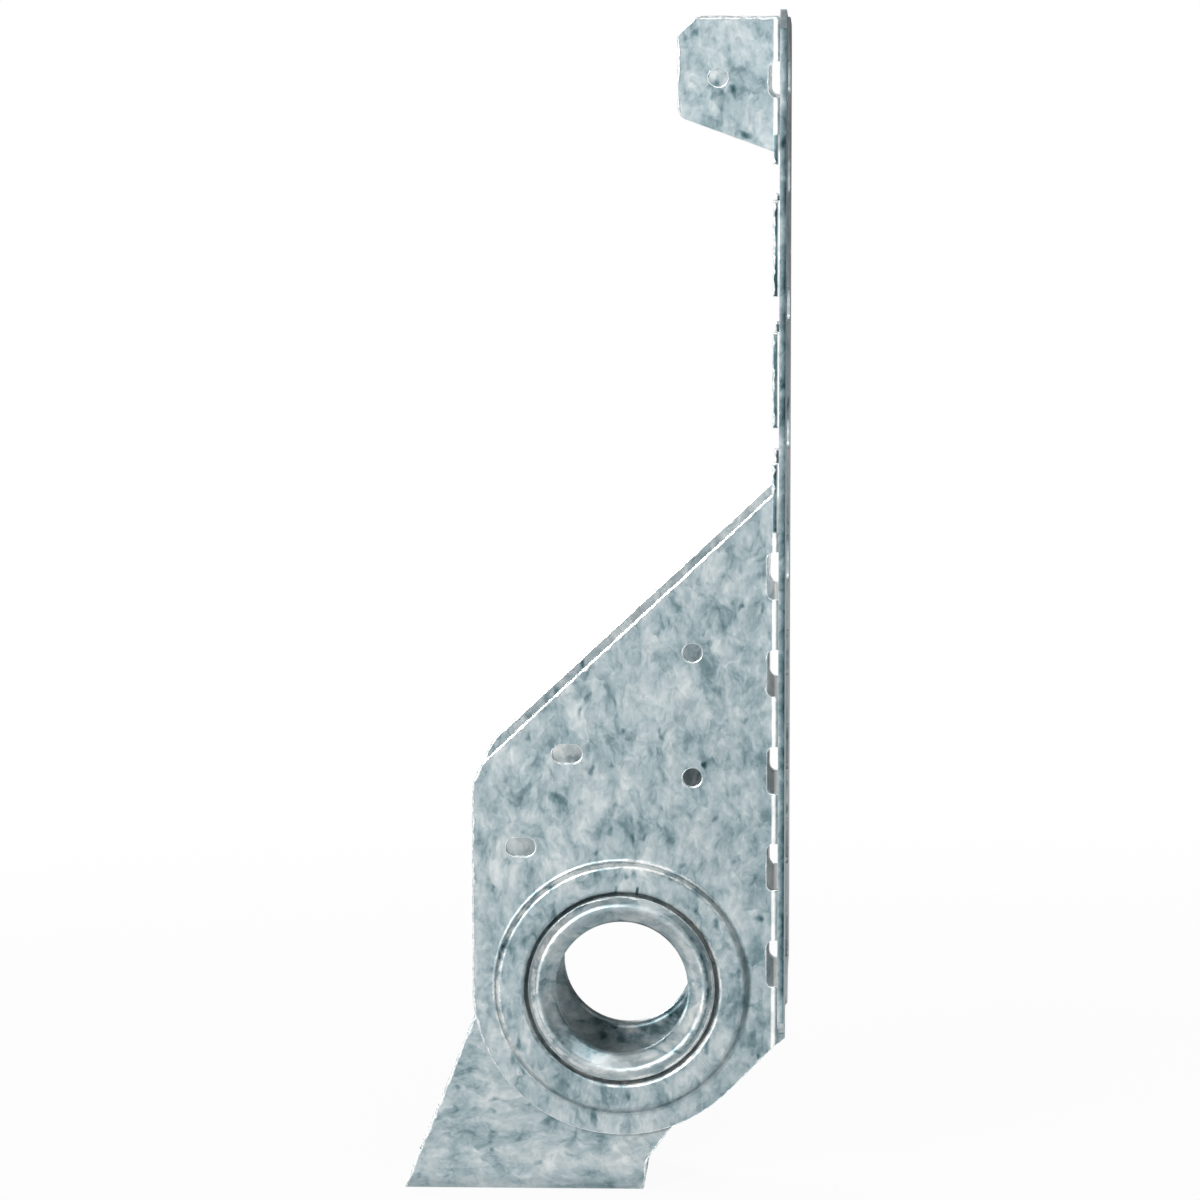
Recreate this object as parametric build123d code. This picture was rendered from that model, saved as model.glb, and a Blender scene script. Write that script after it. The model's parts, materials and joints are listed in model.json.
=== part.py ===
from build123d import *
import os
from math import cos, radians, sin, sqrt, tan

# A rafter hanger for the face of a header: two folded side pieces and a seat that swings between them.
# Millimetres, Z up. Y runs across the rafter, and the left side piece is the one at negative Y.
# Outlines are drawn in X and Z about the hinge axis, with the header on the +X side. The finished pieces are
# then moved so that the origin is on the header's face, midway between the flanges, at the centre of the nails.

# Sheet, folds and running gaps
sheet = 1.5                # thickness of the galvanised sheet
fold_inside = 1.9          # inside radius of the flange's fold
seat_fold_inside = 1.9     # inside radius of the seat's two folds
slip = 0.1                 # gap between a side plate and the seat's wall
hinge_gap = 0.1            # radial gap between a collar and the hole it turns in
rafter_space = 39.7        # clear width between the seat's walls, for a 38 mm rafter

# Where the hinge is
hinge_to_header = 39.5     # hinge axis to the header's face
hinge_to_nails = 115.0     # hinge axis up to the centre of the header nails

# Side plate
plate_round = 36.0         # radius of the lower end, about the hinge
top_slope = 43.0           # angle of the upper edge above level
top_end = 119.4            # height at which the upper edge meets the fold
front_corner = 13.0        # radius of the corner between the upper and the front edge

# Nailing tab at the top
tab_top = 233.2            # its upper edge, above the hinge
tab_width = 22.8           # from its front edge to the fold
tab_height = 31.7          # from its upper edge to its lower one, at the fold
tab_foot_slope = 19.9      # angle by which the lower edge rises towards the front
tab_chamfer = 4.2
tab_corner = 3.0
tab_hole_in = 9.6          # nail hole from the tab's front edge
tab_hole_down = 14.1       # and from its upper edge
tab_slot_down = 14.6       # middle of the fold's slot beside the tab, from the upper edge

# Header flange
flange_width = 32.0        # from the side plate's outer face
flange_foot = -4.5
flange_tilt = 4.3          # slope of the top edges: the left one rises outwards, the right one falls
flange_chamfer_width = 4.0
flange_chamfer_height = 4.4
flange_corner = 2.0

# Slots along the fold, so that it can be bent on site
slot_reach = 1.2           # how far a slot runs past the fold, into the plate and into the flange
slot_corner = 1.8
low_slot_length = 11.6
low_slot_first = 6.0
low_slot_pitch = 23.5
low_slot_count = 5
high_slot_length = 8.6
high_slot_first = 131.3
high_slot_pitch = 31.4
high_slot_count = 3

# Nail holes
nail_hole = 4.7            # diameter
plate_hole_x = 17.0
plate_hole_heights = (51.2, 81.4)
plate_slots = ((-13.2, 56.8), (-24.4, 34.1))
plate_slot_length = 7.3
stagger = (5.0, 6.0)       # shift of the right piece's holes, so that nails from both sides pass each other
header_rows = (20.0, 60.0, 100.0)     # above and below the centre of the pattern
header_columns = (12.0, 22.0, 12.0)   # from the side plate's outer face, row by row
seat_hole_x = (-39.0, -11.0)

# Raised ring pressed into the side plate round the eyelet
ring_height = 1.8
ring_foot_out = 31.0
ring_top_out = 29.6
ring_top_in = 23.7
ring_foot_in = 22.9
ring_round = 1.0

# Seat
seat_depth = 50.3          # hinge axis to the seat's underside
seat_lobe = 30.0           # radius of its walls about the hinge
seat_front_lean = 22.1     # angle of the front edge from upright
seat_waist = 8.0           # from the underside up to the corner between the two back edges
seat_back_lean = 8.0       # angle of the back edge below that corner, from upright
seat_neck_lean = 36.3      # angle of the back edge above it, from upright
seat_neck_round = 6.0

# Eyelet: a collar drawn out of the seat's wall and flared over the side plate, sheet-thick all along. Its bends
# are sharp on the side towards the plate, so their radius on the open side is the sheet's thickness.
throat = 16.0              # inside radius
collar_straight = 1.2      # straight length of the collar, before it flares
ridge = 20.0               # radius of the highest line of the lip
ridge_height = 3.1         # from the side plate's outer face to that line
lip = 21.5                 # radius of the lip's lower edge
lip_gap = 0.3              # from that edge to the side plate's outer face

# What follows from them
seat_in = rafter_space / 2
seat_out = seat_in + sheet
plate_in = seat_out + slip
plate_out = plate_in + sheet
fold_x = hinge_to_header - sheet - fold_inside
fold_y = plate_out + fold_inside
fold_outside = fold_inside + sheet
diagonal = plate_round * sqrt(2)
collar_out = throat + sheet
collar_root = collar_out + sheet
flare_start = seat_out + collar_straight
ridge_under = plate_out + ridge_height - sheet
hinge_hole = collar_out + (ridge - collar_out) * (plate_out - flare_start) / (ridge_under - flare_start) + hinge_gap
tab_front = fold_x - tab_width
tab_foot = tab_top - tab_height
past = 3 * sheet           # how far a cutter runs past what it cuts


def slab(outline, y_low, y_high):
    """An outline in X and Z made a slab between two Y values."""
    return extrude(Plane.XZ.offset(-y_low) * outline, amount=y_low - y_high)


def rounded(face, corners, radius):
    """The face with the corners nearest to the given points rounded."""
    picked = [min(face.vertices(), key=lambda v: (Vector(v) - Vector(*c)).length) for c in corners]
    return fillet(picked, radius)


def plate_outline():
    """Front edge, round lower end, 45 degree edge up to the fold, and the sloping upper edge."""
    knee = (-plate_round, top_end - (fold_x + plate_round) * tan(radians(top_slope)))
    low = plate_round / sqrt(2)
    edge = Polyline((low, -low), (fold_x, fold_x - diagonal), (fold_x, top_end), knee, (-plate_round, 0))
    end = ThreePointArc((-plate_round, 0), (0, -plate_round), (low, -low))
    return rounded(make_face(edge + end), [knee], front_corner)


def tab_outline():
    """Tab with a chamfer above and a lower edge that rises towards its front."""
    toe = (tab_front, tab_foot + (fold_x - tab_front) * tan(radians(tab_foot_slope)))
    edge = Polyline(
        (fold_x, tab_foot), toe, (tab_front, tab_top - tab_chamfer),
        (tab_front + tab_chamfer, tab_top), (fold_x, tab_top), close=True)
    return rounded(make_face(edge), [toe], tab_corner)


def flange_outline(tilt):
    """The flange in Y and Z: a 45 degree foot that carries on the plate's lower edge, and a sloping top."""
    outer = plate_out + flange_width
    peak = outer - flange_chamfer_width
    top = tab_top + (peak - plate_out) * tan(radians(tilt))
    foot = fold_x + fold_inside - diagonal
    start = fold_y - (foot - flange_foot)
    corner = (outer, flange_foot)
    edge = Polyline(
        (plate_in - past, foot - (fold_y - plate_in + past)), (start, flange_foot), corner,
        (outer, top - flange_chamfer_height), (peak, top), (plate_out, tab_top),
        (plate_in - past, tab_top), close=True)
    return rounded(make_face(edge), [corner], flange_corner)


def fold_and_flange(tilt):
    """The quarter-round fold and the flat flange, cut to the flange's outline and the plate's lower edge."""
    quarter = make_face([
        CenterArc((fold_x, fold_y), fold_outside, -90, 90),
        Line((hinge_to_header, fold_y), (hinge_to_header - sheet, fold_y)),
        CenterArc((fold_x, fold_y), fold_inside, 0, -90),
        Line((fold_x, plate_out), (fold_x, plate_in))])
    flat = Pos(hinge_to_header - sheet / 2, (fold_y + plate_out + flange_width) / 2) * Rectangle(
        sheet, plate_out + flange_width - fold_y)
    low = fold_x - diagonal - past
    high = tab_top + flange_width
    strip = extrude(Pos(0, 0, low) * (quarter + flat), amount=high - low)
    outline = extrude(Plane.YZ.offset(fold_x - past) * flange_outline(tilt), amount=hinge_to_header + past - fold_x)
    below = make_face(Polyline(
        (fold_x - past, fold_x - past - diagonal), (hinge_to_header + past, hinge_to_header + past - diagonal),
        (hinge_to_header + past, low - past), (fold_x - past, low - past), close=True))
    return (strip & outline) - slab(below, plate_in - past, plate_out + flange_width + past)


def fold_slot(height, length):
    """Cutter for one slot: flat in the plate, round the fold, and flat in the flange."""
    reach_x = hinge_to_header + past - (fold_x - slot_reach)
    reach_y = fold_y + slot_reach - (plate_in - past)
    through_plate = RectangleRounded(reach_x, length, slot_corner)
    through_flange = RectangleRounded(reach_y, length, slot_corner)
    across = slab(Pos(fold_x - slot_reach + reach_x / 2, height) * through_plate, plate_in - past, fold_y + past)
    along = extrude(
        Plane.YZ.offset(fold_x - past) * (Pos(plate_in - past + reach_y / 2, height) * through_flange),
        amount=hinge_to_header + past - fold_x)
    return across & along


def ring_section():
    """Section of the plate round the eyelet, as radius and Y: hole, floor, raised ring and rim."""
    outside = [
        (hinge_hole, plate_out), (ring_foot_in, plate_out), (ring_top_in, plate_out + ring_height),
        (ring_top_out, plate_out + ring_height), (ring_foot_out, plate_out), (ring_foot_out + sheet, plate_out)]
    inside = [(r, y - sheet) for r, y in reversed(outside)]
    face = make_face(Polyline(*outside, *inside, close=True))
    return rounded(face, outside[1:-1], ring_round)


def side_piece(shift, tilt):
    """A side piece at positive Y. Its nail holes are shifted by the given X and Z."""
    plate = slab(plate_outline() - Circle(ring_foot_out + sheet), plate_in, plate_out)
    piece = plate + slab(tab_outline(), plate_in, plate_out) + fold_and_flange(tilt)
    piece += revolve(ring_section(), Axis.Y)
    low = [(low_slot_first + i * low_slot_pitch, low_slot_length) for i in range(low_slot_count)]
    high = [(high_slot_first + i * high_slot_pitch, high_slot_length) for i in range(high_slot_count)]
    for height, length in low + high + [(tab_top - tab_slot_down, high_slot_length)]:
        piece -= fold_slot(height, length)
    tab_hole = (tab_front + tab_hole_in, tab_top - tab_hole_down)
    for x, z in [(plate_hole_x, h) for h in plate_hole_heights] + [tab_hole]:
        piece -= slab(Pos(x + shift[0], z + shift[1]) * Circle(nail_hole / 2), plate_in - past, plate_out + past)
    for x, z in plate_slots:
        obround = SlotOverall(plate_slot_length, nail_hole)
        piece -= slab(Pos(x + shift[0], z + shift[1]) * obround, plate_in - past, plate_out + past)
    for row, column in zip(header_rows, header_columns):
        for z in (hinge_to_nails - row, hinge_to_nails + row):
            hole = Plane.YZ.offset(fold_x) * (Pos(plate_out + column, z) * Circle(nail_hole / 2))
            piece -= extrude(hole, amount=hinge_to_header + past - fold_x)
    return piece


def eyelet():
    """The collar, turned about the hinge axis from its section: the line of its side towards the plate, made
    sheet-thick on its open side, with a round over each bend."""
    under = Polyline(
        (collar_root, seat_out), (collar_out, seat_out), (collar_out, flare_start), (ridge, ridge_under),
        (lip, plate_out + lip_gap))
    return revolve(make_face(offset(under, sheet, side=Side.LEFT)), Axis.Y)


def seat_outline():
    """Wall of the seat: a round lobe about the hinge, with straight edges that leave it as tangents."""
    front = radians(seat_front_lean)
    neck = radians(seat_neck_lean)
    lobe_front = (-seat_lobe * cos(front), seat_lobe * sin(front))
    lobe_back = (seat_lobe * cos(neck), -seat_lobe * sin(neck))
    toe = (-(seat_lobe + seat_depth * sin(front)) / cos(front), -seat_depth)
    waist = ((seat_lobe - (seat_depth - seat_waist) * sin(neck)) / cos(neck), seat_waist - seat_depth)
    heel = (waist[0] - seat_waist * tan(radians(seat_back_lean)), -seat_depth)
    edge = Polyline(lobe_back, waist, heel, toe, lobe_front)
    lobe = ThreePointArc(lobe_front, (0, seat_lobe), lobe_back)
    return rounded(make_face(edge + lobe), [waist], seat_neck_round)


def seat():
    """A channel folded from one sheet, trimmed to the wall's outline, with an eyelet in each wall."""
    outside = RectangleRounded(2 * seat_out, 4 * seat_depth, seat_fold_inside + sheet)
    inside = RectangleRounded(2 * seat_in, 4 * seat_depth - 2 * sheet, seat_fold_inside)
    hollow = Plane.YZ * (Pos(0, seat_depth) * (outside - inside))
    channel = extrude(hollow, amount=3 * seat_depth, both=True)
    trim = seat_outline() - Circle(collar_root)
    piece = channel & slab(trim, -seat_out, seat_out)
    for x in seat_hole_x:
        piece -= Pos(x, 0, -seat_depth) * Cylinder(nail_hole / 2, 4 * sheet)
    collar = eyelet()
    return piece + collar + mirror(collar, Plane.XZ)


to_header = Pos(-hinge_to_header, 0, -hinge_to_nails)
pieces = {
    "left_side": mirror(side_piece((0, 0), flange_tilt), Plane.XZ),
    "right_side": side_piece(stagger, -flange_tilt),
    "seat": seat(),
}

os.makedirs("parts", exist_ok=True)
for name, piece in pieces.items():
    export_step(to_header * piece, f"parts/{name}.step")
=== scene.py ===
import json
import math

import bpy
import numpy as np
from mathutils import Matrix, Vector


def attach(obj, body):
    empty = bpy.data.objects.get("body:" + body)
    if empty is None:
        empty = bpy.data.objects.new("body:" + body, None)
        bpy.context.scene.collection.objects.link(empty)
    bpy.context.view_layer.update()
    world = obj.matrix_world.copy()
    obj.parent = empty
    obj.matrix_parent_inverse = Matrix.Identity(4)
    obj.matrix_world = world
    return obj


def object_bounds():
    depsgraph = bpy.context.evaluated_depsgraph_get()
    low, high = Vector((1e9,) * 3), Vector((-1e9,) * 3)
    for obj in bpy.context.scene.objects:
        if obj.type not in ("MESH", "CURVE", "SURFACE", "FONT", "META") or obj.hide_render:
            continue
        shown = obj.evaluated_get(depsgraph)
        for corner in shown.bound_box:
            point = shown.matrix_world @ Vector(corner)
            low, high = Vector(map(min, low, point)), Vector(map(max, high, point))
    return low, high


# Galvanised rafter hanger: finish, zinc on the cut edges, light and camera round the fixed CAD frame. Metres, Z up.

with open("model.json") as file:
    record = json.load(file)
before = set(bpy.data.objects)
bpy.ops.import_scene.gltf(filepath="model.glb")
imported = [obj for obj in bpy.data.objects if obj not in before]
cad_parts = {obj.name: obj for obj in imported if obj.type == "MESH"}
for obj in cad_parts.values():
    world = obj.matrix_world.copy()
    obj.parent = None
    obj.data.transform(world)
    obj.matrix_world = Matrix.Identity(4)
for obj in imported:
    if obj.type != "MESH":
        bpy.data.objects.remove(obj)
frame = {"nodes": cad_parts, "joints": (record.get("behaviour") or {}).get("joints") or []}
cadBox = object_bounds()
hinge = Vector(frame["joints"][0]["pos_m"])     # both eyelets turn about the line through here along Y
print("frame loaded:", ", ".join(sorted(frame["nodes"])))


# A '#rrggbb' sRGB colour as linear RGBA: ((c + 0.055) / 1.055) to the power 2.4 above 0.04045, else c / 12.92.
def linearColour(hexColour):
    srgb = np.array([int(hexColour[i:i + 2], 16) for i in (1, 3, 5)]) / 255
    rgb = np.where(srgb > 0.04045, ((srgb + 0.055) / 1.055) ** 2.4, srgb / 12.92)
    return (*rgb.tolist(), 1.0)


# Texture scale whose cells are this many millimetres across: a thousand over the size. A noise's spots are about half
# a cell across, so where a noise is given by its spots their size is doubled.
def perMetre(millimetres):
    return 1000 / millimetres


# Adds one node. A value with the name of one of the node's settings is set there, and any other goes to the input of
# that name, or to input 0, 1 ... when it is called in0, in1 ...; another node's output is linked, a number is typed in.
# Stops fill a colour ramp. Gives back the chosen output, or the whole node when out is None.
def addNode(tree, kind, out=0, stops=(), **values):
    node = tree.nodes.new(kind)
    for name, value in values.items():
        if name in node.bl_rna.properties:
            setattr(node, name, value)
            continue
        socket = node.inputs[int(name[2:])] if name[:2] == "in" else node.inputs[name.replace("_", " ")]
        if isinstance(value, bpy.types.NodeSocket):
            tree.links.new(value, socket)
        else:
            socket.default_value = value
    for index, (place, colour) in enumerate(stops):
        spot = node.color_ramp.elements[index] if index < 2 else node.color_ramp.elements.new(place)
        spot.position = place
        spot.color = linearColour(colour)
    return node if out is None else node.outputs[out]


# An empty material of the given name, with its node tree.
def newMaterial(name):
    material = bpy.data.materials.new(name)
    material.use_nodes = True
    material.node_tree.nodes.clear()
    return material, material.node_tree


# Hot-dip galvanised sheet steel. The eye sees a pale blue-grey spangle: crystals a few millimetres across, feathered
# each its own way and clouded along the rolling direction, small dark specks, and a dull sheen that is never even.
zinc = {
    "colours": [(0.06, "#2c444b"), (0.16, "#4d666c"), (0.34, "#80979d"), (0.46, "#a6b7bc"), (0.56, "#bec9cc"),
                (0.70, "#dadfdf"), (0.86, "#f5f6f4")],
    "patch": 7.0,           # mm, broad clouds
    "patchShare": 0.80,
    "patchNoise": (4.0, 0.62),  # detail and roughness
    "crystal": 6.0,         # mm, spangle crystals
    "crystalShare": 0.10,
    "crystalTurns": (3.1, -2.6),    # radians, greatest turn of a crystal in the first and in the second layer
    "secondLayer": (0.0131, 0.0057, 0.0217),    # m, from the first layer's place to the second one's
    "feather": (1.1, 3.8),  # mm, width and length of the feathering inside a crystal
    "featherShare": 0.66,
    "featherBend": 0.3,     # distortion of the feathering
    "grain": 0.6,           # mm
    "grainShare": 0.18,
    "fineNoise": (3.0, 0.6),    # detail and roughness of the feathering, the grain and the swirl
    "swirl": (7.0, 2.6),    # mm, size of the wander and how far it pushes the pattern
    "stretch": 0.66,        # one over how much longer the clouds are along the rolling direction
    "seedShift": (0.31, 0.17, 0.23),    # m, added to the place for each seed, so that no two pieces match
    "speck": 1.6,           # mm
    "speckDetail": 1.0,
    "speckFrom": (0.61, 0.88, 0.37),    # noise at which a speck starts and is deepest, and its greatest depth
    "metal": 0.9,
    "rough": (0.38, 0.54),
    "roughFrom": (0.35, 0.65),  # feathering between which the roughness goes from the first to the second value
    "relief": 0.02,         # mm
    "reliefStrength": 0.35,
    "edgeBand": 0.06,       # mm, from the flange's outermost edge: sheared steel with little zinc on it, darkened further by painted shade
    "edgeWhole": 0.5,       # share of the band left where its shade is whole
    "edgeAcross": (-1.5, -0.2),     # mm, along X, where its shade starts and is whole
    "edgeShade": 0.32,
    "foldHeights": (-5.0, 91.0),    # mm, between which no plate or tab stands beside the fold
    "foldCrisp": (0.98, 0.6),   # crisp share of that stretch of height, and of a stripe on the fold
    "foldBeside": [(-2.95, 0.62, 0.34)],    # painted highlight on the fold's curve: x, half width, tone, in mm
    "foldBare": [(-2.85, 0.50, -0.34), (-2.05, 0.40, 0.34)],    # painted shade at its edge, and a painted highlight beside it
    "lineCrisp": 0.4,       # crisp share of a line of painted light round the eyelet
    "lineDetail": 2.0,
    "lineWander": (0.8, 0.8),   # mm, size and reach of the ragged border of a line of painted light
    "lineBreak": (1.6, 0.36, 0.54),     # mm and noise, where the line starts and is whole
    "lineWhole": 0.55,      # share of a line's half arc along which it is whole
    "lineSide": (20.2, 20.8),   # mm, from the middle plane, between which the seat's walls turn from inside to outside
}


# Feathering of one layer of crystals: each Voronoi cell turns the place about its own centre by its own angle, and a
# long thin noise is read there. Gives the noise and the cell's random tone.
def feathering(tree, place, look, turn):
    cell = addNode(tree, "ShaderNodeTexVoronoi", None, Vector=place, Scale=perMetre(look["crystal"]))
    chance = addNode(tree, "ShaderNodeSeparateColor", None, in0=cell.outputs["Color"])
    local = addNode(tree, "ShaderNodeVectorMath", operation="SUBTRACT", in0=place, in1=cell.outputs["Position"])
    angle = addNode(tree, "ShaderNodeMath", operation="MULTIPLY", in0=chance.outputs["Red"], in1=turn)
    turned = addNode(tree, "ShaderNodeVectorRotate", rotation_type="Y_AXIS", Vector=local, Angle=angle)
    width, length = look["feather"]
    thin = addNode(tree, "ShaderNodeVectorMath", operation="MULTIPLY", in0=turned, in1=(1.0, 1.0, width / length))
    apart = addNode(tree, "ShaderNodeVectorMath", operation="ADD", in0=thin, in1=cell.outputs["Color"])
    detail, roughness = look["fineNoise"]
    noise = addNode(tree, "ShaderNodeTexNoise", Vector=apart, Scale=perMetre(width * 2), Detail=detail,
                    Roughness=roughness, Distortion=look["featherBend"])
    return noise, chance.outputs["Green"]


# A stripe across a length: 1 where it is near the stated middle, falling to 0 at the half width. Crisp is the share of
# the half width that stays at 1. Middle and half width are in millimetres, the length in metres.
def stripe(tree, length, middle, half, crisp):
    off = addNode(tree, "ShaderNodeMath", operation="SUBTRACT", in0=length, in1=middle / 1000)
    off = addNode(tree, "ShaderNodeMath", operation="ABSOLUTE", in0=off)
    return addNode(tree, "ShaderNodeMapRange", interpolation_type="SMOOTHSTEP", Value=off,
                   From_Min=crisp * half / 1000, From_Max=half / 1000, To_Min=1.0, To_Max=0.0)


# Painted highlight and painted shade on the flange's fold: stripes across X, one set where the plate or the tab stands
# beside it and the other where its edge is bare, chosen by height.
def foldPaintedLight(tree, place, look):
    axes = addNode(tree, "ShaderNodeSeparateXYZ", None, in0=place).outputs
    low, high = look["foldHeights"]
    heightCrisp, crisp = look["foldCrisp"]
    bare = stripe(tree, axes["Z"], (low + high) / 2, (high - low) / 2, heightCrisp)
    sums = []
    for stripes in (look["foldBeside"], look["foldBare"]):
        total = 0.0
        for middle, half, tone in stripes:
            line = stripe(tree, axes["X"], middle, half, crisp)
            total = addNode(tree, "ShaderNodeMath", operation="MULTIPLY_ADD", in0=line, in1=tone, in2=total)
        sums.append(total)
    return addNode(tree, "ShaderNodeMix", data_type="FLOAT", in0=bare, in2=sums[0], in3=sums[1])


# Painted highlights and painted shade round the eyelet: stripes at stated distances from the hinge axis, ragged and
# broken by noise, bright where a slope of the pressings faces the lamps and dark where it faces away. Each is (radius
# and half width in mm, middle and half length of its arc in degrees from +X, tone), and its strength rises with the
# cosine of the angle from the arc's middle, from 0 at the arc's end. One set is for the outside and one for the faces
# towards the rafter, chosen by the distance from the middle plane.
def eyeletPaintedLight(tree, place, look, outside, inside):
    aside = addNode(tree, "ShaderNodeVectorMath", operation="SUBTRACT", in0=place, in1=tuple(hinge))
    flat = addNode(tree, "ShaderNodeVectorMath", operation="MULTIPLY", in0=aside, in1=(1.0, 0.0, 1.0))
    radius = addNode(tree, "ShaderNodeVectorMath", "Value", operation="LENGTH", in0=flat)
    outwards = addNode(tree, "ShaderNodeVectorMath", operation="NORMALIZE", in0=flat)
    size, reach = look["lineWander"]
    wander = addNode(tree, "ShaderNodeTexNoise", Vector=place, Scale=perMetre(size), Detail=look["lineDetail"])
    wander = addNode(tree, "ShaderNodeMath", operation="MULTIPLY_ADD", in0=wander, in1=reach / 1000,
                     in2=-0.5 * reach / 1000)
    radius = addNode(tree, "ShaderNodeMath", operation="ADD", in0=radius, in1=wander)
    sums = []
    for lines in (inside, outside):
        total = 0.0
        for middle, half, degrees, arc, tone in lines:
            line = stripe(tree, radius, middle, half, look["lineCrisp"])
            towards = math.radians(degrees)
            near = addNode(tree, "ShaderNodeVectorMath", "Value", operation="DOT_PRODUCT", in0=outwards,
                           in1=(math.cos(towards), 0.0, math.sin(towards)))
            near = addNode(tree, "ShaderNodeMapRange", interpolation_type="SMOOTHSTEP", Value=near,
                           From_Min=math.cos(math.radians(arc)),
                           From_Max=math.cos(math.radians(arc * look["lineWhole"])), To_Min=0.0, To_Max=tone)
            total = addNode(tree, "ShaderNodeMath", operation="MULTIPLY_ADD", in0=line, in1=near, in2=total)
        sums.append(total)
    side = addNode(tree, "ShaderNodeSeparateXYZ", "Y", in0=place)
    side = addNode(tree, "ShaderNodeMath", operation="ABSOLUTE", in0=side)
    side = addNode(tree, "ShaderNodeMapRange", Value=side, From_Min=look["lineSide"][0] / 1000,
                   From_Max=look["lineSide"][1] / 1000)
    total = addNode(tree, "ShaderNodeMix", data_type="FLOAT", in0=side, in2=sums[0], in3=sums[1])
    size, low, high = look["lineBreak"]
    whole = addNode(tree, "ShaderNodeTexNoise", Vector=place, Scale=perMetre(size * 2), Detail=look["lineDetail"])
    whole = addNode(tree, "ShaderNodeMapRange", Value=whole, From_Min=low, From_Max=high)
    return addNode(tree, "ShaderNodeMath", operation="MULTIPLY", in0=total, in1=whole)


# The galvanised finish of one piece, rolled along X, Y or Z (0, 1 or 2). Tone is the stated one plus each layer's
# distance from its own middle times its share, less the specks and the flange's sheared edge (bare steel, with painted
# shade deepening towards its corner), plus the painted highlights and shade round the eyelet and, on a piece with a
# flange, the fold's stripes of painted highlight and shade. The tone picks the colour, and the feathering the
# roughness.
def galvanisedFinish(name, rolled, look, seed, outside, inside, folded, tone):
    material, tree = newMaterial(name)
    place = addNode(tree, "ShaderNodeTexCoord", "Object")
    scale = [1.0, 1.0, 1.0]
    scale[rolled] = look["stretch"]
    shift = Vector(look["seedShift"]) * seed
    laid = addNode(tree, "ShaderNodeMapping", Vector=place, Scale=scale, Location=shift)
    size, reach = look["swirl"]
    detail, roughness = look["fineNoise"]
    wander = addNode(tree, "ShaderNodeTexNoise", "Color", Vector=laid, Scale=perMetre(size), Detail=detail,
                     Roughness=roughness)
    wander = addNode(tree, "ShaderNodeVectorMath", operation="SUBTRACT", in0=wander, in1=(0.5, 0.5, 0.5))
    wander = addNode(tree, "ShaderNodeVectorMath", operation="SCALE", in0=wander, Scale=2 * reach / 1000)
    swirled = addNode(tree, "ShaderNodeVectorMath", operation="ADD", in0=laid, in1=wander)
    aside = addNode(tree, "ShaderNodeVectorMath", operation="ADD", in0=swirled, in1=look["secondLayer"])
    grain = addNode(tree, "ShaderNodeTexNoise", Vector=swirled, Scale=perMetre(look["grain"] * 2), Detail=detail,
                    Roughness=roughness)
    detail, roughness = look["patchNoise"]
    patch = addNode(tree, "ShaderNodeTexNoise", Vector=swirled, Scale=perMetre(look["patch"]), Detail=detail,
                    Roughness=roughness)
    featherOne, crystalOne = feathering(tree, swirled, look, look["crystalTurns"][0])
    featherTwo, crystalTwo = feathering(tree, aside, look, look["crystalTurns"][1])
    feather = addNode(tree, "ShaderNodeMath", operation="ADD", in0=featherOne, in1=featherTwo)
    feather = addNode(tree, "ShaderNodeMath", operation="MULTIPLY", in0=feather, in1=0.5)
    crystal = addNode(tree, "ShaderNodeMath", operation="ADD", in0=crystalOne, in1=crystalTwo)
    crystal = addNode(tree, "ShaderNodeMath", operation="MULTIPLY", in0=crystal, in1=0.5)
    for layer, share in ((patch, "patchShare"), (crystal, "crystalShare"), (feather, "featherShare"),
                         (grain, "grainShare")):
        layer = addNode(tree, "ShaderNodeMath", operation="SUBTRACT", in0=layer, in1=0.5)
        tone = addNode(tree, "ShaderNodeMath", operation="MULTIPLY_ADD", in0=layer, in1=look[share], in2=tone)
    speck = addNode(tree, "ShaderNodeTexNoise", Vector=swirled, Scale=perMetre(look["speck"] * 2),
                    Detail=look["speckDetail"])
    low, high, depth = look["speckFrom"]
    speck = addNode(tree, "ShaderNodeMapRange", interpolation_type="SMOOTHSTEP", Value=speck, From_Min=low,
                    From_Max=high, To_Min=0.0, To_Max=depth)
    tone = addNode(tree, "ShaderNodeMath", operation="SUBTRACT", in0=tone, in1=speck)
    # The flange's sheared edge: bare steel, darker than the zinc, plus painted shade that deepens along X towards its
    # corner.
    side = addNode(tree, "ShaderNodeSeparateXYZ", "Y", in0=place)
    side = addNode(tree, "ShaderNodeMath", operation="ABSOLUTE", in0=side)
    outermost = max(abs(cadBox[0][1]), abs(cadBox[1][1]))
    shearedAndShaded = addNode(tree, "ShaderNodeMapRange", Value=side, From_Min=outermost - look["edgeBand"] / 1000,
                      From_Max=outermost - look["edgeWhole"] * look["edgeBand"] / 1000)
    across = addNode(tree, "ShaderNodeSeparateXYZ", "X", in0=place)
    shade = addNode(tree, "ShaderNodeMapRange", Value=across, From_Min=look["edgeAcross"][0] / 1000,
                    From_Max=look["edgeAcross"][1] / 1000, To_Min=0.0, To_Max=look["edgeShade"])
    shearedAndShaded = addNode(tree, "ShaderNodeMath", operation="MULTIPLY", in0=shearedAndShaded, in1=shade)
    tone = addNode(tree, "ShaderNodeMath", operation="SUBTRACT", in0=tone, in1=shearedAndShaded)
    # painted highlights and painted shade round the eyelet
    eyeletLightTone = eyeletPaintedLight(tree, place, look, outside, inside)
    tone = addNode(tree, "ShaderNodeMath", operation="ADD", in0=eyeletLightTone, in1=tone)
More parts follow.
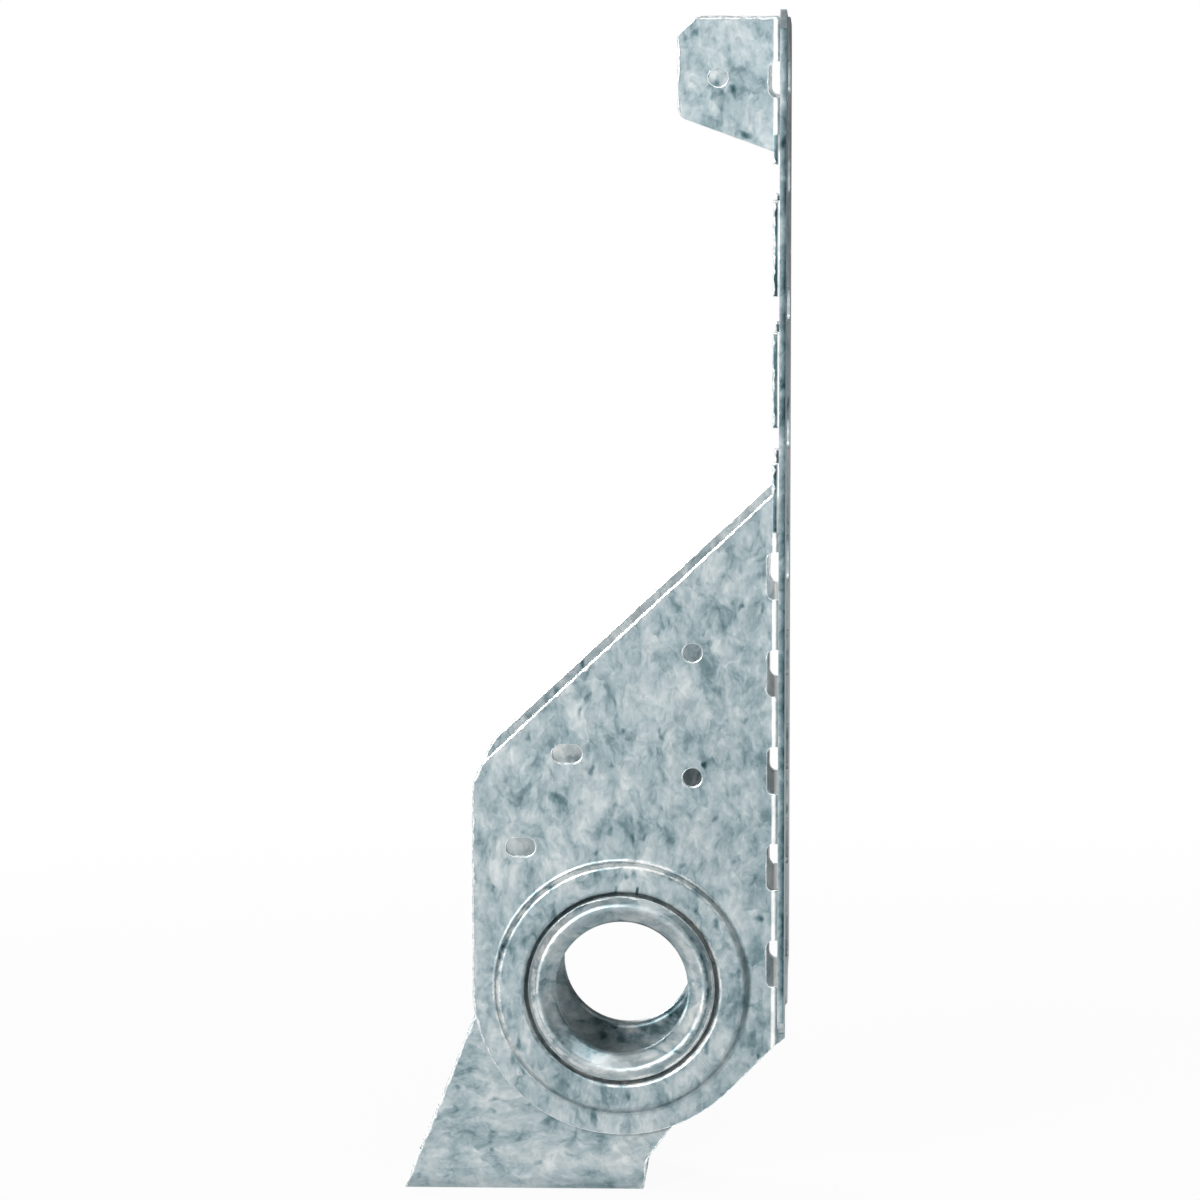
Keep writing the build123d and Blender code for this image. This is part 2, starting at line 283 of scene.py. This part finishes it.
    # painted highlight and painted shade on the fold
    if folded:
        tone = addNode(tree, "ShaderNodeMath", operation="ADD", in0=foldPaintedLight(tree, place, look), in1=tone)
    colour = addNode(tree, "ShaderNodeValToRGB", in0=tone, stops=look["colours"])
    rough = addNode(tree, "ShaderNodeMapRange", Value=feather, From_Min=look["roughFrom"][0],
                    From_Max=look["roughFrom"][1], To_Min=look["rough"][0], To_Max=look["rough"][1])
    relief = addNode(tree, "ShaderNodeBump", Height=feather, Strength=look["reliefStrength"],
                     Distance=look["relief"] / 1000)
    shader = addNode(tree, "ShaderNodeBsdfPrincipled", Base_Color=colour, Metallic=look["metal"], Roughness=rough,
                     Normal=relief)
    addNode(tree, "ShaderNodeOutputMaterial", None, Surface=shader)
    return material


# Puts one material in every slot of a CAD node.
def dress(node, material):
    slots = frame["nodes"][node].data.materials
    if not slots:
        slots.append(material)
    for index in range(len(slots)):
        slots[index] = material


# Lines round the eyelet, in the form that the eyelet's line function takes: painted highlights where a slope faces the
# lamps, painted shade where it faces away or lies in a hollow, and two small dark marks.
ringPaintedLight = [
    (30.95, 0.32, 135.0, 120.0, 0.34),  # painted highlight on the pressed ring's outer foot
    (29.95, 0.75, 120.0, 125.0, 0.46),  # painted highlight on its outer slope
    (23.8, 0.45, -30.0, 95.0, 0.46),    # painted highlight on its inner edge, at the top
    (22.9, 0.60, -45.0, 179.0, 0.26),   # painted light on its inner foot, beside the lip, against the gap's shade
    (24.0, 1.50, 81.0, 1.0, -0.40),     # two small dark marks
    (23.4, 1.00, 15.5, 1.2, -0.40),
]
lipPaintedLight = [
    (20.3, 0.45, 165.0, 55.0, 0.24),    # painted highlight on the lip's crest at the left
    (19.9, 0.35, -35.0, 70.0, 0.30),    # and at the right
    (21.4, 0.75, 190.0, 80.0, 0.36),    # painted highlight on its flank at the left
    (22.0, 0.30, -25.0, 70.0, 0.40),    # painted highlight on its lower edge
    (20.9, 0.50, 0.0, 50.0, -0.22),     # painted shade on its flank at the right
    (18.3, 1.30, -15.0, 75.0, 0.14),    # painted highlight on the funnel inside it
    (16.2, 1.20, -90.0, 180.0, -0.10),  # painted shade in the throat
]
insidePaintedShade = [(18.6, 3.60, -30.0, 112.0, -0.25)]   # painted shade on the seat's wall round the throat, deep between the walls
dress("left_side", galvanisedFinish("galvanisedSheetNear", 2, zinc, 1, ringPaintedLight, [], True, 0.49))
# the far side's higher tone, 0.57 against 0.49, is painted light for its inner face where light reaches past the near
# side
dress("right_side", galvanisedFinish("galvanisedSheetFarLightened", 2, zinc, 4, ringPaintedLight, [], True, 0.57))
dress("seat", galvanisedFinish("galvanisedSeat", 0, zinc, 7, lipPaintedLight, insidePaintedShade, False, 0.50))
print("galvanised finish on the sheet")

# Zinc on the cut edges: each piece was dipped after it was cut, and the bath left a thin uneven bead over every
# sheared corner, with a torn border on the face. It is paler than the spangle, partly as zinc and partly as a painted
# highlight, and the beads are thin where the edge faces down, so that the pale edges show at the top and the sides.
edgeZinc = {
    "step": 0.32,           # mm, between sections along an edge
    "lap": (0.05, 1.00),    # mm, least and greatest reach onto the face
    "lapPower": 1.5,        # makes long reaches rarer than short ones
    "proud": (0.25, 0.12),  # over the face at the border: share of the lap, and most in mm
    "proudWave": (0.7, 0.6),    # least factor on that share, and how much the ragged wave adds to it
    "tight": 0.04,          # mm, the most on a face that another piece slides over
    "bulge": (0.02, 0.28),  # mm, least and greatest reach past the cut edge
    "depth": 0.30,          # mm, down the cut face
    "sunk": 0.02,           # mm, how far the bead's two ends lie under the sheet's surface
    "tooth": (1.5, 0.55),   # mm, coarse and fine length of the torn border
    "toothShare": (0.67, 0.33),
    "fewest": (8, 4),       # sections of a bead, and teeth along it
    "upwards": (-0.85, 0.6, 0.12),  # height of the outward direction at 0 bead, its rise to a whole one, least share
    "keepIn": 0.002,        # mm, how far inside the CAD model's box the zinc ends
    "leastDepth": 0.1,      # share of the depth that every bead has
    "flange": 0.10,         # share of the bead that is left on the flange, whose edges are nearly bare
    "hole": (60.0, 0.5),    # mm, the longest outline of a hole or slot, and the share of the bead on it
    "clearRadius": 19.5,    # mm, no bead nearer to the hinge axis, where the collar turns in its hole
    "facing": 0.5,          # a face looks along an axis if its normal's part along that axis is more than this
    "turn": 40.0,           # degrees, the least turn that ends a face of the sheet
    "sliver": 1e-14,        # twice the area in m2 of a triangle that is left out
    "convexBy": 1e-6,       # m, how far the cut face falls away beside a corner that gets a bead
    "colours": [(0.30, "#c3d0d4"), (0.50, "#e6edee"), (0.66, "#fbfcfc")],
    "grain": 0.5,           # mm
    "grainDetail": 2.0,
    "relief": 0.05,         # mm
    "reliefStrength": 0.6,
    "metal": 0.7,
    "rough": 0.40,
}

# Section of a bead, from its border on the face over the corner to its end on the cut face. Each row is a point: its
# share of the lap, the bulge and the sinking outwards, then its share of the height, the depth and the sinking upwards.
beadSection = np.array([
    [-1.0, 0.0, 0.0, 0.0, 0.0, -1.0],
    [-0.88, 0.0, 0.0, 1.0, 0.0, 0.0],
    [-0.4, 0.0, 0.0, 0.5, 0.0, 0.0],
    [0.0, 0.0, 0.0, 0.0, 0.0, 0.0],
    [0.0, 0.7, 0.0, 0.0, -0.2, 0.0],
    [0.0, 1.0, 0.0, 0.0, -0.5, 0.0],
    [0.0, 0.6, 0.0, 0.0, -0.85, 0.0],
    [0.0, 0.0, -1.0, 0.0, -1.0, 0.0],
])


# Points and triangles of a CAD node, with vertices at the same whole number of micrometres made one.
def mergedSheet(node):
    mesh = frame["nodes"][node].data
    mesh.calc_loop_triangles()
    points = np.empty(len(mesh.vertices) * 3)
    corners = np.empty(len(mesh.loop_triangles) * 3, dtype=np.int64)
    mesh.vertices.foreach_get("co", points)
    mesh.loop_triangles.foreach_get("vertices", corners)
    points = points.reshape(-1, 3)
    _, first, merged = np.unique(np.round(points * 1e6).astype(np.int64), axis=0, return_index=True,
                                 return_inverse=True)
    return points[first], merged.reshape(-1)[corners].reshape(-1, 3)


# The cut corners of a sheet. Triangles whose normals turn by less than the given angle share a label, passed on until
# nothing changes; the two labels with the most area are the sheet's two sides, and the edges where one of them ends
# are the cut corners. Gives each corner edge's start, end, face normal and cut normal, without the concave ones, at
# which the cut face's far point does not lie below the face.
def cutCorners(points, triangles, look):
    a, b, c = (points[triangles[:, k]] for k in range(3))
    normals = np.cross(b - a, c - a)
    area = np.linalg.norm(normals, axis=1)
    kept = area > look["sliver"]
    triangles, normals, area = triangles[kept], normals[kept] / area[kept, None], area[kept]
    start = triangles.reshape(-1)
    end = np.roll(triangles, -1, axis=1).reshape(-1)
    opposite = np.roll(triangles, -2, axis=1).reshape(-1)
    owner = np.repeat(np.arange(len(triangles)), 3)
    key = np.minimum(start, end) * len(points) + np.maximum(start, end)
    order = np.argsort(key, kind="stable")
    paired = np.flatnonzero(np.diff(key[order]) == 0)
    one, two = order[paired], order[paired + 1]
    smooth = np.einsum("ij,ij->i", normals[owner[one]], normals[owner[two]]) > math.cos(math.radians(look["turn"]))
    near, far = owner[one[smooth]], owner[two[smooth]]
    labels = np.arange(len(triangles))
    while True:
        lowered = labels.copy()
        np.minimum.at(lowered, near, labels[far])
        np.minimum.at(lowered, far, labels[near])
        lowered = lowered[lowered]
        if np.array_equal(lowered, labels):
            break
        labels = lowered
    sides = np.argsort(np.bincount(labels, weights=area))[-2:]
    here, there = np.concatenate([one, two]), np.concatenate([two, one])
    found = []
    for side in sides:
        edge = (labels[owner[here]] == side) & (labels[owner[there]] != side)
        h, t = here[edge], there[edge]
        middle = (points[start[h]] + points[end[h]]) / 2
        convex = np.einsum("ij,ij->i", points[opposite[t]] - middle, normals[owner[h]]) < -look["convexBy"]
        h, t = h[convex], t[convex]
        found.append((start[h], end[h], normals[owner[h]], normals[owner[t]]))
    return found


# Corner edges put in order, loop by loop: every vertex points to the next one, doubling the jump each time gives the
# lowest vertex of its loop and its rank from there, and sorting by both gives the loops one after another. The jumps
# are doubled as often as 2 has to be multiplied by itself to pass the number of edges.
def orderedLoops(start, end, count):
    following = np.arange(count)
    following[start] = end
    doublings = len(start).bit_length()
    loop, jump = np.arange(count), following.copy()
    for _ in range(doublings):
        loop = np.minimum(loop, loop[jump])
        jump = jump[jump]
    last = loop == np.arange(count)
    rank, jump = np.where(last, 0, 1), np.where(last, np.arange(count), following)
    for _ in range(doublings):
        rank = rank + rank[jump]
        jump = jump[jump]
    order = np.lexsort((-rank[start], loop[start]))
    cuts = np.flatnonzero(np.diff(loop[start][order])) + 1
    return np.split(order, cuts)


# Ragged wave along a closed path, 0 to 1: values drawn every tooth's length and joined by straight lines, the coarse
# ones and the fine ones each times its share.
def raggedWave(draw, along, length, look):
    wave = np.zeros_like(along)
    for tooth, share in zip(look["tooth"], look["toothShare"]):
        count = max(look["fewest"][1], int(length / tooth))
        wave += share * np.interp(along, np.linspace(0, length, count + 1), np.resize(draw.random(count), count + 1))
    return wave


# A bead carried along one loop of cut corners: beadSection times the lap, bulge, height and depth at each place. Lap
# and bulge are their least plus the rest times a ragged wave times favour, which rises to 1 with the height of the
# outward direction and is less on the flange and on holes. Across is outwards in the sheet's plane and up is out of its
# face, both averaged over five sections. Inside is 1 where another piece slides over faces that look towards the
# middle, and -1 over those that look away from it.
def beadOnLoop(corner, up, across, inside, draw, look):
    ahead = np.roll(corner, -1, axis=0) - corner
    lengths = np.linalg.norm(ahead, axis=1) * 1000
    total = lengths.sum()
    count = max(look["fewest"][0], int(total / look["step"]))
    along = np.arange(count) * total / count
    reached = np.concatenate([[0], np.cumsum(lengths)[:-1]])
    index = np.searchsorted(reached, along, side="right") - 1
    place = corner[index] + ahead[index] * ((along - reached[index]) / lengths[index])[:, None]
    up, across = (sum(np.roll(way[index], shift, axis=0) for shift in (-2, -1, 0, 1, 2)) for way in (up, across))
    up /= np.linalg.norm(up, axis=1)[:, None]
    across -= up * np.einsum("ij,ij->i", up, across)[:, None]
    across /= np.linalg.norm(across, axis=1)[:, None]
    lowest, rise, least = look["upwards"]
    favour = np.clip((across[:, 2] - lowest) / rise, least, 1)
    favour = favour * np.where(np.abs(up[:, 0]) > look["facing"], look["flange"], 1)
    if total < look["hole"][0]:
        favour = favour * look["hole"][1]
    lapWave, bulgeWave, proudWave = (raggedWave(draw, along, total, look) for _ in range(3))
    lap = look["lap"][0] + (look["lap"][1] - look["lap"][0]) * lapWave ** look["lapPower"] * favour
    bulge = look["bulge"][0] + (look["bulge"][1] - look["bulge"][0]) * bulgeWave * favour
    share, most = look["proud"]
    factor, added = look["proudWave"]
    sliding = -inside * up[:, 1] * np.sign(place[:, 1]) > look["facing"]
    proud = np.minimum(share * lap * (factor + added * proudWave), np.where(sliding, look["tight"], most))
    depth = look["depth"] * np.clip(favour, look["leastDepth"], 1)
    sunk = np.full(count, look["sunk"])
    outward = np.stack([lap, bulge, sunk], 1) @ beadSection[:, :3].T
    upward = np.stack([proud, depth, sunk], 1) @ beadSection[:, 3:].T
    return place[:, None] + (across[:, None] * outward[:, :, None] + up[:, None] * upward[:, :, None]) / 1000


# One piece of all the beads of a node. A loop has at least three corners. Each section is joined to the next and the
# last to the first; a bead's faces are turned round where its volume, a sixth of the sum of a . (b x c) over its
# triangles, isn't above zero.
def edgeBeads(name, node, inside, look, material, seed):
    points, triangles = mergedSheet(node)
    draw = np.random.default_rng(seed)
    low, high = (np.array(corner) for corner in cadBox)
    spare = look["keepIn"] / 1000
    vertices, faces, used = [], [], 0
    for start, end, up, across in cutCorners(points, triangles, look):
        for loop in orderedLoops(start, end, len(points)):
            corner = points[start[loop]]
            radius = np.hypot(corner[:, 0] - hinge.x, corner[:, 2] - hinge.z)
            if len(loop) < 3 or radius.max() * 1000 < look["clearRadius"]:
                continue
            bead = np.clip(beadOnLoop(corner, up[loop], across[loop], inside, draw, look), low + spare, high - spare)
            rows, width = bead.shape[:2]
            row, column = np.meshgrid(np.arange(rows), np.arange(width), indexing="ij")
            nextRow, nextColumn = (row + 1) % rows, (column + 1) % width
            quads = np.stack([row * width + column, nextRow * width + column, nextRow * width + nextColumn,
                              row * width + nextColumn], 2).reshape(-1, 4)
            flat = bead.reshape(-1, 3)
            p, q, r, s = (flat[quads[:, k]] for k in range(4))
            volume = np.einsum("ij,ij->", p, np.cross(q, r)) + np.einsum("ij,ij->", p, np.cross(r, s))
            vertices.append(flat)
            faces.append((quads if volume > 0 else quads[:, ::-1]) + used)
            used += len(flat)
    mesh = bpy.data.meshes.new(name)
    mesh.from_pydata(np.concatenate(vertices), [], np.concatenate(faces))
    mesh.shade_smooth()
    mesh.materials.append(material)
    piece = bpy.data.objects.new(name, mesh)
    bpy.context.scene.collection.objects.link(piece)
    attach(piece, node)
    print(name, len(mesh.polygons) * 2, "triangles")


# Zinc that ran together on an edge: paler, smoother and brighter than the spangle, with a fine grain; the paleness is
# also a painted highlight on the edges.
def edgeZincHighlightFinish(name, look):
    material, tree = newMaterial(name)
    place = addNode(tree, "ShaderNodeTexCoord", "Object")
    grain = addNode(tree, "ShaderNodeTexNoise", Vector=place, Scale=perMetre(look["grain"] * 2),
                    Detail=look["grainDetail"])
    colour = addNode(tree, "ShaderNodeValToRGB", in0=grain, stops=look["colours"])
    relief = addNode(tree, "ShaderNodeBump", Height=grain, Strength=look["reliefStrength"],
                     Distance=look["relief"] / 1000)
    shader = addNode(tree, "ShaderNodeBsdfPrincipled", Base_Color=colour, Metallic=look["metal"],
                     Roughness=look["rough"], Normal=relief)
    addNode(tree, "ShaderNodeOutputMaterial", None, Surface=shader)
    return material


edgeZincAndHighlight = edgeZincHighlightFinish("zincAndPaintedHighlightOnCutEdges", edgeZinc)
for node, inside, seed in (("left_side", 1, 11), ("right_side", 1, 12), ("seat", -1, 13)):
    edgeBeads(node + "EdgeZinc", node, inside, edgeZinc, edgeZincAndHighlight, seed)
print("zinc beads on the cut edges")

# Studio: pale floor at the seat's underside, a faint sky, and soft lamps in front at the upper left, high at the
# right, low at the left and behind. The sky and the last two lamps light only what they reach, and the light of the
# first two is passed on once, so that the inside stays dark.
studio = {
    "floorSize": 6.0,
    "floor": "#c9cbcc",
    "floorShare": (0.95, 1.0),          # white share near the hanger, and far off
    "floorShine": 0.76,                 # how much of it the metal sees
    "floorFade": (0.2, 0.8),            # m, from the hanger
    "lampAway": 4.0,                    # m
    # direction, watts, size in m, and how often its light may be passed on from the first surface
    "frontLamp": ((-0.376, -0.848, 0.372), 124.0, 1.55, 1),
    "topLamp": ((0.37, -0.475, 0.77), 42.0, 1.55, 1),
    "sideLamp": ((-0.94, 0.284, 0.08), 52.0, 1.25, 0),
    "rearLamp": ((-0.45, 0.78, 0.44), 118.0, 1.25, 0),
    "skyTowards": (0.0, 0.0, 1.0),      # the sky is brightest here
    "skyLevel": 0.15,
    "skyPower": 4.0,
    "skyShine": 0.06,                   # how much of the white background the metal sees
}


# One square face at the hanger's underside, pale and nearly self-lit to the camera, but keeping the shadow. The white
# share rises smoothly with the distance from the hanger, so that the floor has no far edge.
def stageFloor():
    half = studio["floorSize"] / 2
    low = cadBox[0][2]
    mesh = bpy.data.meshes.new("studioFloor")
    mesh.from_pydata([(-half, -half, low), (half, -half, low), (half, half, low), (-half, half, low)], [],
                     [(0, 1, 2, 3)])
    floor = bpy.data.objects.new("studioFloor", mesh)
    bpy.context.scene.collection.objects.link(floor)
    material, tree = newMaterial("paintedFloor")
    paint = addNode(tree, "ShaderNodeBsdfDiffuse", Color=linearColour(studio["floor"]))
    white = addNode(tree, "ShaderNodeEmission", Color=(1, 1, 1, 1), Strength=1.0)
    path = addNode(tree, "ShaderNodeLightPath", None).outputs
    seen = addNode(tree, "ShaderNodeMath", operation="MULTIPLY_ADD", use_clamp=True, in0=path["Is Glossy Ray"],
                   in1=studio["floorShine"], in2=path["Is Camera Ray"])
    seen = addNode(tree, "ShaderNodeMath", operation="ADD", use_clamp=True, in0=seen,
                   in1=path["Is Transmission Ray"])
    place = addNode(tree, "ShaderNodeTexCoord", "Object")
    away = addNode(tree, "ShaderNodeVectorMath", "Value", operation="LENGTH", in0=place)
    share = addNode(tree, "ShaderNodeMapRange", interpolation_type="SMOOTHSTEP", Value=away,
                    From_Min=studio["floorFade"][0], From_Max=studio["floorFade"][1],
                    To_Min=studio["floorShare"][0], To_Max=studio["floorShare"][1])
    share = addNode(tree, "ShaderNodeMath", operation="MULTIPLY", in0=seen, in1=share)
    mixed = addNode(tree, "ShaderNodeMixShader", in0=share, in1=paint, in2=white)
    addNode(tree, "ShaderNodeOutputMaterial", None, Surface=mixed)
    mesh.materials.append(material)


# World light: white to the camera and in part to the metal's reflections. What it lights with is the stated level
# times the stated power of the dot product of the brightest part's direction and the direction looked in.
def softSky():
    world = bpy.data.worlds.new("softSky")
    world.use_nodes = True
    world.cycles.max_bounces = 0
    bpy.context.scene.world = world
    tree = world.node_tree
    tree.nodes.clear()
    way = addNode(tree, "ShaderNodeTexCoord", "Generated")
    facing = addNode(tree, "ShaderNodeVectorMath", "Value", operation="DOT_PRODUCT", in0=way,
                     in1=Vector(studio["skyTowards"]).normalized())
    facing = addNode(tree, "ShaderNodeMath", operation="MAXIMUM", in0=facing, in1=0.0)
    facing = addNode(tree, "ShaderNodeMath", operation="POWER", in0=facing, in1=studio["skyPower"])
    level = addNode(tree, "ShaderNodeMath", operation="MULTIPLY", in0=facing, in1=studio["skyLevel"])
    lit = addNode(tree, "ShaderNodeBackground", Color=(1, 1, 1, 1), Strength=level)
    white = addNode(tree, "ShaderNodeBackground", Color=(1, 1, 1, 1), Strength=1.0)
    path = addNode(tree, "ShaderNodeLightPath", None).outputs
    seen = addNode(tree, "ShaderNodeMath", operation="MULTIPLY_ADD", use_clamp=True, in0=path["Is Glossy Ray"],
                   in1=studio["skyShine"], in2=path["Is Camera Ray"])
    seen = addNode(tree, "ShaderNodeMath", operation="ADD", use_clamp=True, in0=seen,
                   in1=path["Is Transmission Ray"])
    mixed = addNode(tree, "ShaderNodeMixShader", in0=seen, in1=lit, in2=white)
    addNode(tree, "ShaderNodeOutputWorld", None, Surface=mixed)


# A square soft lamp at the stated direction from the hanger's middle, and turned to it.
def softLamp(name):
    towards, power, size, passedOn = studio[name]
    lamp = bpy.data.lights.new(name, "AREA")
    lamp.size = size
    lamp.energy = power
    lamp.cycles.max_bounces = passedOn
    holder = bpy.data.objects.new(name, lamp)
    middle = (Vector(cadBox[0]) + Vector(cadBox[1])) / 2
    towards = Vector(towards).normalized()
    holder.location = middle + towards * studio["lampAway"]
    holder.rotation_euler = (-towards).to_track_quat("-Z", "Y").to_euler()
    bpy.context.scene.collection.objects.link(holder)


# Camera: the photograph's own view, worked out from the lines that run away from it
view = {
    "place": (0.01696, -1.44687, 0.12593),
    "azimuth": 2.481,       # degrees, turned from +Y towards -X
    "elevation": 5.882,     # degrees, looking down
    "lens": 179.1,
    "sensor": 36.0,
    "nearest": 0.05,        # m
}


# An upright camera that looks along (-sin a cos e, cos a cos e, -sin e).
def photoCamera():
    data = bpy.data.cameras.new("photoCamera")
    data.lens = view["lens"]
    data.sensor_width = view["sensor"]
    data.clip_start = view["nearest"]
    holder = bpy.data.objects.new("photoCamera", data)
    holder.location = view["place"]
    a, e = math.radians(view["azimuth"]), math.radians(view["elevation"])
    ahead = Vector((-math.sin(a) * math.cos(e), math.cos(a) * math.cos(e), -math.sin(e)))
    holder.rotation_euler = ahead.to_track_quat("-Z", "Y").to_euler()
    bpy.context.scene.collection.objects.link(holder)
    bpy.context.scene.camera = holder


stageFloor()
softSky()
for lampName in ("frontLamp", "topLamp", "sideLamp", "rearLamp"):
    softLamp(lampName)
photoCamera()
bpy.context.scene.view_settings.view_transform = "Standard"
print("studio and camera set")
